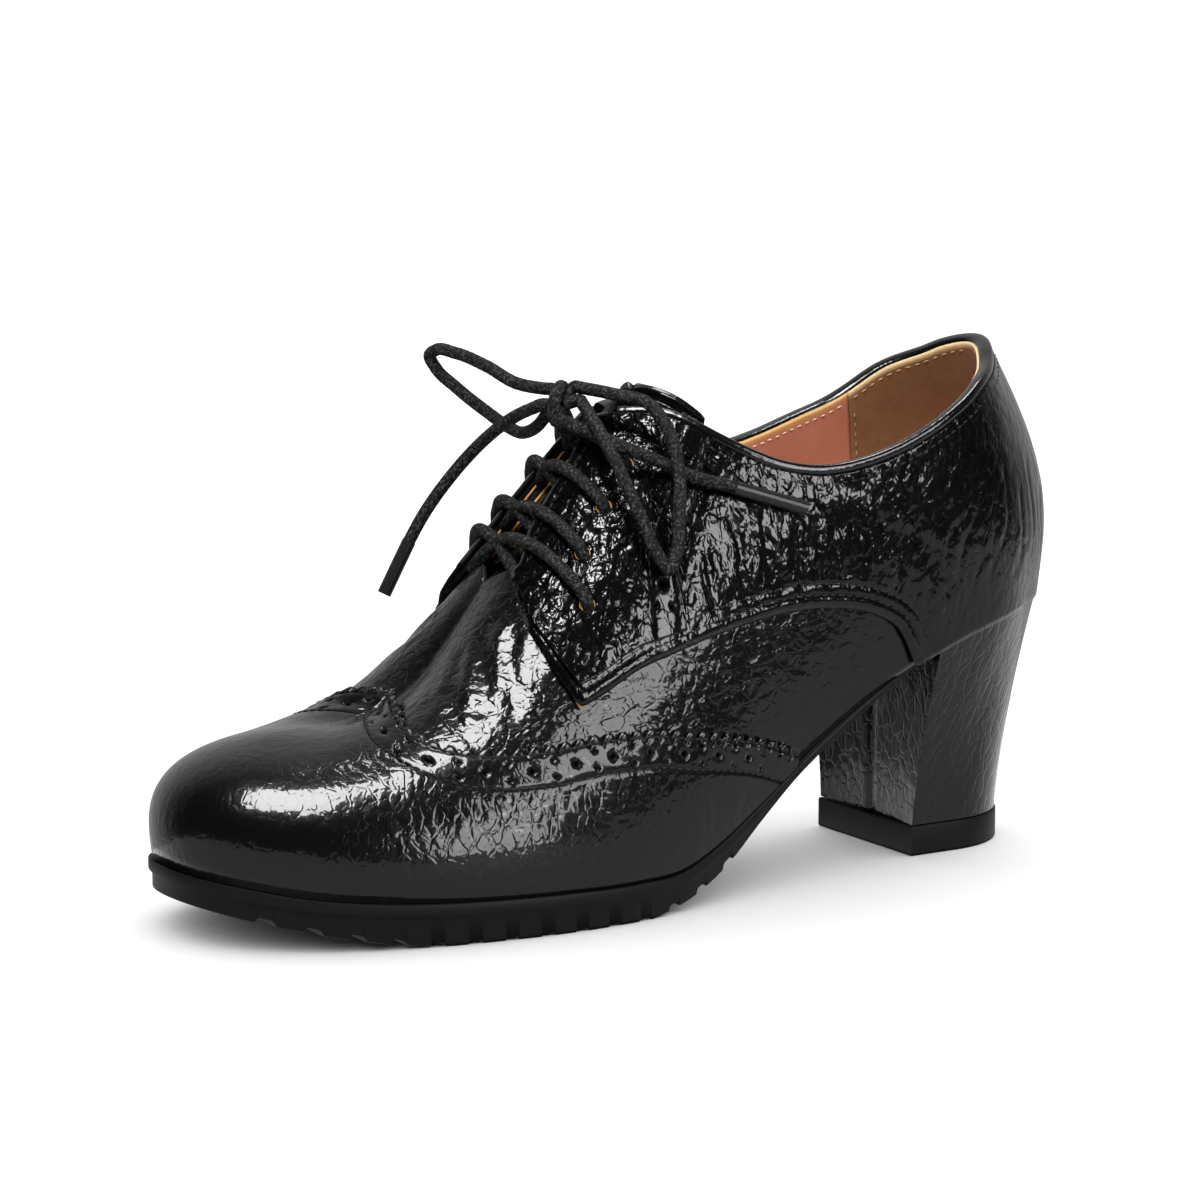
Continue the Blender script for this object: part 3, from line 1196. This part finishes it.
def make_quarters(leather, thread, cut_edge):
    """Both quarters in one sheet round the heel, with the swan neck seam along their lower edge."""
    side, from_toe = round_heel(QUARTER_START, 460)
    side, from_toe = side[:, None], from_toe[:, None]
    rows = np.linspace(0.0, 1.0, 70)[None]
    low = edge(QUARTER_LOW, from_toe)
    high = collar(side, from_toe)
    rise = low + (high - low) * rows
    points = on_last(side, from_toe, rise)[0]
    gap = np.full(rise.shape, 99.0)
    beside = np.full(rise.shape, 99.0)
    for s in SIDES:
        route = edge_route(s, QUARTER_LOW, 80.5, 189.0, 700)[0]
        gap = np.where(side == s, np.minimum(gap, nearest_on(points, route)[0]), gap)
        facing = edge_route(s, EYESTAY_LOW, EYESTAY_REAR, EYESTAY_LOW["from_toe"][-1], 300)[0]
        beside = np.where(side == s, np.minimum(beside, nearest_on(points, facing)[0]), beside)
    roll = 0.35 * bell(gap, 1.3, 0.8) - 0.45 * bell(gap, 0.0, 0.55)
    groove = -SEAM_GROOVE * seams(gap, SWAN_STITCHES)
    press = -0.4 * bell(beside, 0.0, 1.3)
    flat = ease(gap, 2.0, 6.0)
    taut = 1 - 0.75 * ease(from_toe, 200, 222)
    relief = QUARTER_CRUMPLE * crumple(points, 5.2, 1.5) * taut + creases(side, from_toe, rise)
    lift = OVERLAY_LIFT + relief * flat + roll + groove + press
    calm = np.maximum(0.55 * (1 - ease(gap, 4.0, 7.0)), pulled_smooth(from_toe, rise + 0.1))
    piece = leather_sheet("quarter_leather", side, from_toe, rise, np.clip(lift, 0.05, 1.1), LAYER, leather,
                          {"calm": calm}, cut_edge)
    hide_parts("quarters")
    stitch_lift = OVERLAY_LIFT + LAYER - SEAM_GROOVE + THREAD_PROUD
    swan = [edge_route(s, QUARTER_LOW, 88.0, 187.5, 500, line, stitch_lift)
            for s in SIDES for line in SWAN_STITCHES]
    top = [edge_route(s, QUARTER_TOP, 128.0, 241.9, 500, -2.3, stitch_lift) for s in SIDES]
    make_stitches("quarter_stitches", swan + top, thread, "patent")
    return piece


def eyelet_spots(side, lift):
    """Middles of a side's eyelets, and the directions out of the last there."""
    return on_last(float(side), LACE_ROWS["eyelet_from_toe"], LACE_ROWS["eyelet_rise"], lift)


def make_eyestay(side, leather, thread, raw_edge, cut_edge):
    """The facing of one side: eyelets in front, a pinked and punched edge behind."""
    stop = EYESTAY_LOW["from_toe"][-1]
    from_toe = np.linspace(EYESTAY_START, stop, 150)[:, None]
    rows = np.linspace(0.0, 1.0, 120)[None]
    high = edge(QUARTER_TOP, from_toe) - EDGE_STEP / 2
    low = edge(EYESTAY_LOW, from_toe)
    rear = edge_route(side, EYESTAY_LOW, EYESTAY_REAR, stop, 500)[0]
    place = nearest_on(on_last(float(side), from_toe, low)[0], rear)[1]
    slope = np.abs(np.gradient(low[:, 0], from_toe[:, 0]))[:, None] * GIRTH
    steepness = np.minimum(np.hypot(1.0, slope), 2.0)
    cut = TOOTH_DEPTH / GIRTH * teeth(place) * steepness * (from_toe > EYESTAY_REAR)
    low = np.minimum(low + cut, high - 0.002)
    rise = low + (high - low) * rows
    points = on_last(float(side), from_toe, rise)[0]
    gap, place = nearest_on(points, rear)
    pit = perforations(gap, place) * (place > 3.0) * (place < 43.0)
    centres, _ = eyelet_spots(side, 0.0)
    eyelet = np.zeros(rise.shape)
    for centre in centres:
        near = np.linalg.norm(points - centre, axis=-1)
        eyelet = np.maximum(eyelet, 1 - ease(near, EYELET_RADIUS - 0.5, EYELET_RADIUS + 0.2))
    facing = edge_route(side, QUARTER_TOP, EYESTAY_START, 123.0, 500)[0]
    beside = nearest_on(points, facing)[0]
    bead = 0.3 * bell(beside, 1.2, 0.8) - 0.35 * bell(beside, 0.0, 0.6)
    calm = np.maximum(0.7 * (1 - ease(gap, 8.0, 10.0)), 0.8 * (1 - ease(beside, 2.0, 4.0)))
    groove = seams(gap, FACING_STITCHES)
    lift = (EYESTAY_LIFT + FACING_CRUMPLE * crumple(points, 5.0, 1.3) * (1 - 0.75 * calm) - HOLE_DEPTH * pit
            - EYELET_DEPTH * eyelet - SEAM_GROOVE * groove + bead)
    name = SIDE_NAMES[side]
    holes = ease(np.maximum(pit, eyelet), 0.02, 0.4)
    marks = {"pit": np.maximum(holes, SEAM_SHADE * groove), "calm": calm}
    piece = leather_sheet(f"facing_{name}", float(side), from_toe, rise, lift, EYESTAY_LAYER, leather,
                          marks, cut_edge)
    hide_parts(f"eyestay_{name}")
    top = EYESTAY_LIFT + EYESTAY_LAYER + 0.1
    routes = [edge_route(side, EYESTAY_LOW, EYESTAY_REAR + 2.0, 139.0, 300, line, top)
              for line in FACING_STITCHES]
    routes.append(edge_route(side, QUARTER_TOP, 84.0, 122.0, 300, -2.6, top))
    make_stitches(f"facing_stitches_{name}", routes, thread, "patent")
    make_eyelets(side, raw_edge)
    make_backing(side, raw_edge)
    return piece


def make_eyelets(side, raw_edge):
    """The tan raw edge of each punched eyelet, as a thin ring let into the facing."""
    bm = bmesh.new()
    centres, outs = eyelet_spots(side, FACING_TOP - 0.25)
    for centre, out in zip(centres, outs):
        turned = Vector(out).to_track_quat("Z", "Y").to_matrix().to_4x4()
        placed = Matrix.Translation(Vector(centre) * MM) @ turned
        ring = bmesh.ops.create_circle(bm, segments=24, radius=EYELET_RADIUS * MM, cap_ends=False)
        rim = [e for e in bm.edges if all(v in ring["verts"] for v in e.verts)]
        inner = bmesh.ops.extrude_edge_only(bm, edges=rim)
        verts = [v for v in inner["geom"] if isinstance(v, bmesh.types.BMVert)]
        bmesh.ops.scale(bm, verts=verts, vec=(0.78, 0.78, 1.0))
        bmesh.ops.translate(bm, verts=verts, vec=(0, 0, -0.25 * MM))
        bmesh.ops.transform(bm, verts=ring["verts"] + verts, matrix=placed)
    bmesh.ops.recalc_face_normals(bm, faces=bm.faces[:])
    piece = finish_object((bm, bpy.data.meshes.new(f"eyelet_edges_{SIDE_NAMES[side]}"), raw_edge))
    thicken(piece, 0.4, 0.0)


def make_backing(side, raw_edge):
    """The tan backing that shows as a line along the facing's edge and at the tab's corner."""
    name = SIDE_NAMES[side]
    from_toe = np.linspace(82.0, 121.5, 90)[:, None]
    rise = edge(QUARTER_TOP, from_toe) + np.linspace(-0.05, 0.003, 6)[None]
    strip = leather_sheet(f"facing_backing_{name}", float(side), from_toe, rise, -0.1, 0.56, raw_edge)
    from_toe = np.linspace(86.8, 89.2, 24)[:, None]
    rise = edge(QUARTER_LOW, from_toe) + np.linspace(-0.007, 0.04, 6)[None]
    corner = leather_sheet(f"tab_backing_{name}", float(side), from_toe, rise, 0.05, 0.42, raw_edge)


def make_tongue(leather, cut_edge):
    """The tongue, with a rolled rim along its top."""
    from_toe = np.linspace(TONGUE_LOW["from_toe"][0], TONGUE_LOW["from_toe"][-1], 170)[:, None]
    low, high = edge(TONGUE_LOW, from_toe), edge(TONGUE_TOP, from_toe)
    half = np.linspace(0.0, 1.0, 34)[None]
    rise = low + (high - low) * half
    rise = np.concatenate([rise, rise[:, ::-1]], axis=1)
    side = np.concatenate([np.full(34, OUTER), np.full(34, INNER)])[None]
    points = on_last(side, from_toe, rise)[0]
    rim = np.concatenate([edge_route(s, TONGUE_TOP, 134.2, 144.0, 200)[0] for s in SIDES])
    gap = nearest_on(points, rim)[0]
    calm = 1 - ease(gap, 4.0, 9.0)
    relief = TONGUE_CRUMPLE * crumple(points, 7.0) * (1 - calm) * (1 - ease(rise, 0.97, 1.0))
    roll = 0.55 * bell(gap, 1.3, 1.0) - 0.3 * bell(gap, 3.4, 0.6)
    piece = leather_sheet("tongue_leather", side, from_toe, rise, TONGUE_LIFT + relief + roll, -TONGUE_LAYER,
                          leather, {"calm": calm}, cut_edge)
    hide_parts("tongue")
    return piece


def lining_sheet(name, side, from_toe, finish):
    """A lining inside the upper, with a mark along its cut edge at the collar."""
    rows = np.linspace(0.0, 1.0, 60)[None]
    high = collar(side, from_toe) + LINING_RISE * ease(from_toe, 124, 132) - 0.002
    rise = LINING_LOW + (high - LINING_LOW) * rows
    points = on_last(side, from_toe, rise)[0]
    below = (1 - rows) * (high - LINING_LOW) * 100.0
    rim = np.broadcast_to(1 - ease(below, 0.9, 1.3), rise.shape)
    lift = np.minimum(LINING_LIFT - LINING_CRUMPLE * crumple(points, 9.0) - 0.15, LINING_LIFT)
    piece = leather_sheet(name, side, from_toe, rise, lift, -LINING_LAYER, finish, {"rim": rim})


def make_lining(salmon, suede, pale_thread, tan_thread):
    """Salmon linings on both sides, the suede round the heel, and the stitches along them."""
    from_toe = np.linspace(88.0, LINING_SEAM, 150)[:, None]
    for s in SIDES:
        lining_sheet(f"lining_{SIDE_NAMES[s]}", float(s), from_toe, salmon)
    side, from_toe = round_heel(LINING_SEAM + 0.3, 170)
    lining_sheet("heel_lining", side[:, None], from_toe[:, None], suede)
    lift = LINING_LIFT - LINING_LAYER - 0.2
    sizes = {"pitch": 2.6, "length": 1.6, "width": 0.42}
    front = [edge_route(s, QUARTER_TOP, 130.0, LINING_SEAM - 1.0, 500, -0.4, lift) for s in SIDES]
    make_stitches("lining_stitches", front, pale_thread, "lining", **sizes)
    back = [edge_route(s, QUARTER_TOP, LINING_SEAM + 1.0, 241.9, 500, -0.4, lift) for s in SIDES]
    for s in SIDES:
        rise = np.linspace(0.08, float(collar(s, LINING_SEAM)) - 0.01, 200)
        back.append(on_last(float(s), np.full(200, LINING_SEAM + 1.7), rise, lift))
    make_stitches("heel_lining_stitches", back, tan_thread, "lining", **sizes)


def make_binding(smooth_leather):
    """The rolled band on the collar's edge. Its foot covers the top of the quarters."""
    side, from_toe = round_heel(BINDING_START, 260)
    spots, out = on_last(side, from_toe, collar(side, from_toe), BINDING_LIFT)
    run = unit(np.gradient(spots, axis=0))
    up = unit(np.cross(out, run))
    middle = spots + up * (BINDING_HALF_HIGH + GAP)
    around = np.linspace(0.0, 2 * math.pi, 21)
    wide = np.sign(np.cos(around)) * np.abs(np.cos(around)) ** 0.75
    high = np.sign(np.sin(around)) * np.abs(np.sin(around)) ** 0.9
    high = np.where(high < 0, high * BINDING_FOOT, high)
    rings = (middle[:, None] + out[:, None] * (BINDING_HALF_THICK * wide)[None, :, None]
             + up[:, None] * (BINDING_HALF_HIGH * high)[None, :, None])
    piece = finish_object(grid_object("collar_roll", rings, smooth_leather), closed=True)
    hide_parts("collar_binding")


# Sole and heel

def rim_points(side, from_toe, offset, z):
    """Points at a distance out from the feather line."""
    x, y, out_x, out_y = feather(np.asarray(side, float), turn(from_toe))
    return np.stack(np.broadcast_arrays(x + out_x * offset, y + out_y * offset, z), axis=-1)


def sole_sections():
    """Distance from the toe and groove depth of each section of the outsole."""
    half = GROOVE_WIDTH / 2
    grooves = np.arange(FIRST_GROOVE, LAST_GROOVE, GROOVE_PITCH)
    sections = []
    for middle in grooves:
        sections += [(middle - half - GROOVE_SLOPE, 0.0), (middle - half - 0.05, LUG_DEPTH * 0.75),
                     (middle - half + 0.3, LUG_DEPTH), (middle + half - 0.3, LUG_DEPTH),
                     (middle + half + 0.05, LUG_DEPTH * 0.75), (middle + half + GROOVE_SLOPE, 0.0)]
    plain = np.concatenate([along(np.linspace(0, 0.3, 14)), np.linspace(6.0, BREAST - GAP, 150)])
    sections += [(x, 0.0) for x in plain if np.abs(grooves - x).min() > half + 0.8]
    sections = np.array(sorted(sections))
    standing = ease(sections[:, 0], 34, 50) * (1 - ease(sections[:, 0], 98, 112))
    sections[:, 1] *= 1 - 0.5 * standing
    return sections


def make_outsole(rubber):
    """The rubber sole: a ledge round its top, a wall under it and grooves across its edge."""
    sections = sole_sections()
    from_toe, groove = sections[:, 0], sections[:, 1]
    rim = smooth(from_toe, SOLE["from_toe"], SOLE["rim"])
    top = last_value("feather_z", turn(from_toe)) - GAP
    bottom = np.maximum(smooth(from_toe, SOLE["from_toe"], SOLE["bottom_z"]), 0.0) + groove
    ledge = top - np.minimum(LEDGE_HEIGHT, (top - bottom) / 2)
    wall = rim - LEDGE_STEP
    soft = 0.3
    profile = [(rim - soft, top), (rim - 0.08, top - 0.1), (rim, top - soft),
               (rim, ledge + soft), (rim - 0.1, ledge + 0.08), (rim - soft, ledge),
               (wall + 0.1, ledge - 0.15), (wall, ledge - 0.35),
               (wall, bottom + 0.45), (wall - 0.12, bottom + 0.12), (wall - 0.45, bottom)]
    outer = [rim_points(OUTER, from_toe, *spot) for spot in profile]
    inner = [rim_points(INNER, from_toe, *spot) for spot in reversed(profile)]
    under = [outer[-1] + (inner[0] - outer[-1]) * share for share in np.linspace(0, 1, 12)[1:-1]]
    over = [inner[-1] + (outer[0] - inner[-1]) * share for share in np.linspace(0, 1, 6)[1:-1]]
    rings = np.stack(outer + under + inner + over + outer[:1], axis=1)
    low = np.clip((LUG_DEPTH + 0.4 - (rings[..., 2] - (bottom - groove)[:, None])) / 0.6, 0.0, 1.0)
    marks = {"pit": low * (groove > 0)[:, None]}
    piece = finish_object(grid_object("tread_sole", rings, rubber, marks), closed=True, smooth_angle=35.0)
    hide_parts("outsole")


def make_insole(salmon):
    """The insole, a little higher along its middle."""
    angles = np.linspace(0.0, math.pi, 150)
    from_toe = along(angles)
    z = last_value("feather_z", angles) + GAP + INSOLE_LAYER
    outer = rim_points(OUTER, from_toe, -INSOLE_INSET, z)
    inner = rim_points(INNER, from_toe, -INSOLE_INSET, z)
    shares = np.linspace(0.0, 1.0, 26)
    crown = 0.25 * np.sin(shares * math.pi)
    points = outer[:, None] + (inner - outer)[:, None] * shares[None, :, None]
    points[..., 2] += crown[None] - 0.25
    made = grid_object("sock_lining", points, salmon)
    bmesh.ops.recalc_face_normals(made[0], faces=made[0].faces[:])
    if sum(face.normal.z for face in made[0].faces) < 0:
        bmesh.ops.reverse_faces(made[0], faces=made[0].faces[:])
    piece = finish_object(made)
    thicken(piece, INSOLE_LAYER - 0.3, -1.0)
    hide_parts("insole")


def heel_bottom(share, offset=0.0):
    """The heel's lower outline, from -1 at the outer corner round the back to 1."""
    half = HEEL_BOTTOM_WIDTH / 2 + offset
    front = TOE_X + HEEL_BOTTOM_FRONT - offset
    centre = TOE_X + HEEL_BOTTOM_FRONT + HEEL_BOTTOM_LENGTH - HEEL_BACK_RADIUS
    bend = 0.6
    straight = np.clip((np.abs(share) - bend) / (1 - bend), 0.0, 1.0)
    angle = np.clip(share / bend, -1.0, 1.0) * math.pi / 2
    x = centre + (HEEL_BACK_RADIUS + offset) * np.cos(angle) + (front - centre) * straight
    return x, AXIS_Y + half * np.sin(angle)


def heel_rings(heights):
    """Rings of the heel block from its foot to its seat, the breast last."""
    shares = np.linspace(-1, 1, 97)
    breast = np.linspace(0, 1, 46)[1:-1]
    foot_x, foot_y = heel_bottom(shares)
    side = np.where(shares < 0, OUTER, INNER).astype(float)
    angle = math.pi - (math.pi - turn(BREAST)) * np.abs(shares)
    top = rim_points(side, along(angle), HEEL_TOP_OFFSET, last_value("feather_z", angle) - GAP)
    rings = []
    for height in heights:
        blend = height ** HEEL_FLARE
        ring = np.stack([foot_x + (top[:, 0] - foot_x) * blend, foot_y + (top[:, 1] - foot_y) * blend,
                         TOP_PIECE + (top[:, 2] - TOP_PIECE) * height], axis=1)
        face = ring[-1] + (ring[0] - ring[-1]) * breast[:, None]
        face[:, 0] += BREAST_HOLLOW * (1 - (2 * breast - 1) ** 2) * (1 - height)
        face[:, 0] += BREAST_SEAM * bell(breast, 0.5, 0.025)
        rings.append(np.concatenate([ring, face, ring[:1]]))
    return np.array(rings)


def make_heel(leather):
    """The covered heel block."""
    heights = np.linspace(0, 1, 60)
    rings = heel_rings(heights)
    middle = rings[:, :97].mean(axis=1, keepdims=True)
    out = unit((rings - middle) * (1, 1, 0) + 1e-9)
    relief = HEEL_CRUMPLE * crumple(rings, 4.0, 1.3)
    ends = ease(heights, 0.0, 0.05) * (1 - ease(heights, 0.95, 1.0))
    relief[:, -1] = relief[:, 0]
    rings = rings + out * (relief * ends[:, None])[..., None]
    piece = finish_object(grid_object("heel_cover", rings, leather), closed=True, smooth_angle=45.0)
    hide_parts("heel")


def make_top_piece(rubber):
    """The rubber top piece under the heel, with rounded edges."""
    shares = np.linspace(-1, 1, 97)
    top = TOP_PIECE - GAP
    levels = ((0.0, -0.5), (0.12, -0.15), (0.5, 0.0), (top - 0.5, 0.0), (top - 0.12, -0.15), (top, -0.5))
    rings = []
    for z, step in levels:
        x, y = heel_bottom(shares, TOP_PIECE_OFFSET + step)
        ring = np.stack([x, y, np.full(len(x), z)], axis=1)
        rings.append(np.concatenate([ring, ring[:1]]))
    piece = finish_object(grid_object("heel_tip", np.array(rings), rubber), closed=True, smooth_angle=35.0)
    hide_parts("heel_top_piece")


def main():
    """Makes the finishes, the pieces and the studio."""
    make_camera()
    patent = patent_finish("crinkled_patent", (0.8, 0.9, 1.0), 0.9)
    wing_patent = patent_finish("wing_patent", (1.0, 1.0, 0.7), 0.8)
    quarter_patent = patent_finish("quarter_patent", (1.0, 1.0, 0.6), 1.35)
    heel_patent = patent_finish("heel_patent", (1.0, 1.0, 0.6), 0.3, 30.0)
    smooth_leather = smooth_patent_finish()
    salmon = lining_finish()
    suede = heel_lining_finish()
    rubber = rubber_finish()
    cord = cord_finish()
    film = speckled_finish("tip_film", (0.008, 0.008, 0.008), (0.02, 0.02, 0.021), 0.22, 0.8)
    cut_edge = speckled_finish("cut_edge", (0.002, 0.002, 0.002), (0.006, 0.006, 0.006), 0.7, 2.0)
    black_thread = speckled_finish("black_thread", (0.004, 0.004, 0.004), (0.012, 0.012, 0.012), 0.85, 3.0)
    pale_thread = speckled_finish("pale_thread", (0.62, 0.50, 0.40), (0.80, 0.70, 0.60), 0.7, 3.0)
    tan_thread = speckled_finish("tan_thread", (0.40, 0.24, 0.10), (0.62, 0.42, 0.22), 0.7, 3.0)
    raw_edge = speckled_finish("raw_edge", (0.42, 0.19, 0.05), (0.62, 0.33, 0.11), 0.8, 2.0)

    make_laces(cord, film)
    make_upper(patent, cut_edge)
    make_toe_cap(wing_patent, black_thread, cut_edge)
    crumpled = [make_quarters(quarter_patent, black_thread, cut_edge)]
    for side in SIDES:
        crumpled.append(make_eyestay(side, quarter_patent, black_thread, raw_edge, cut_edge))
    crumpled.append(make_tongue(patent, cut_edge))
    make_binding(smooth_leather)
    make_lining(salmon, suede, pale_thread, tan_thread)
    make_insole(salmon)
    make_outsole(rubber)
    make_heel(heel_patent)
    make_top_piece(rubber)
    make_studio(crumpled)


main()
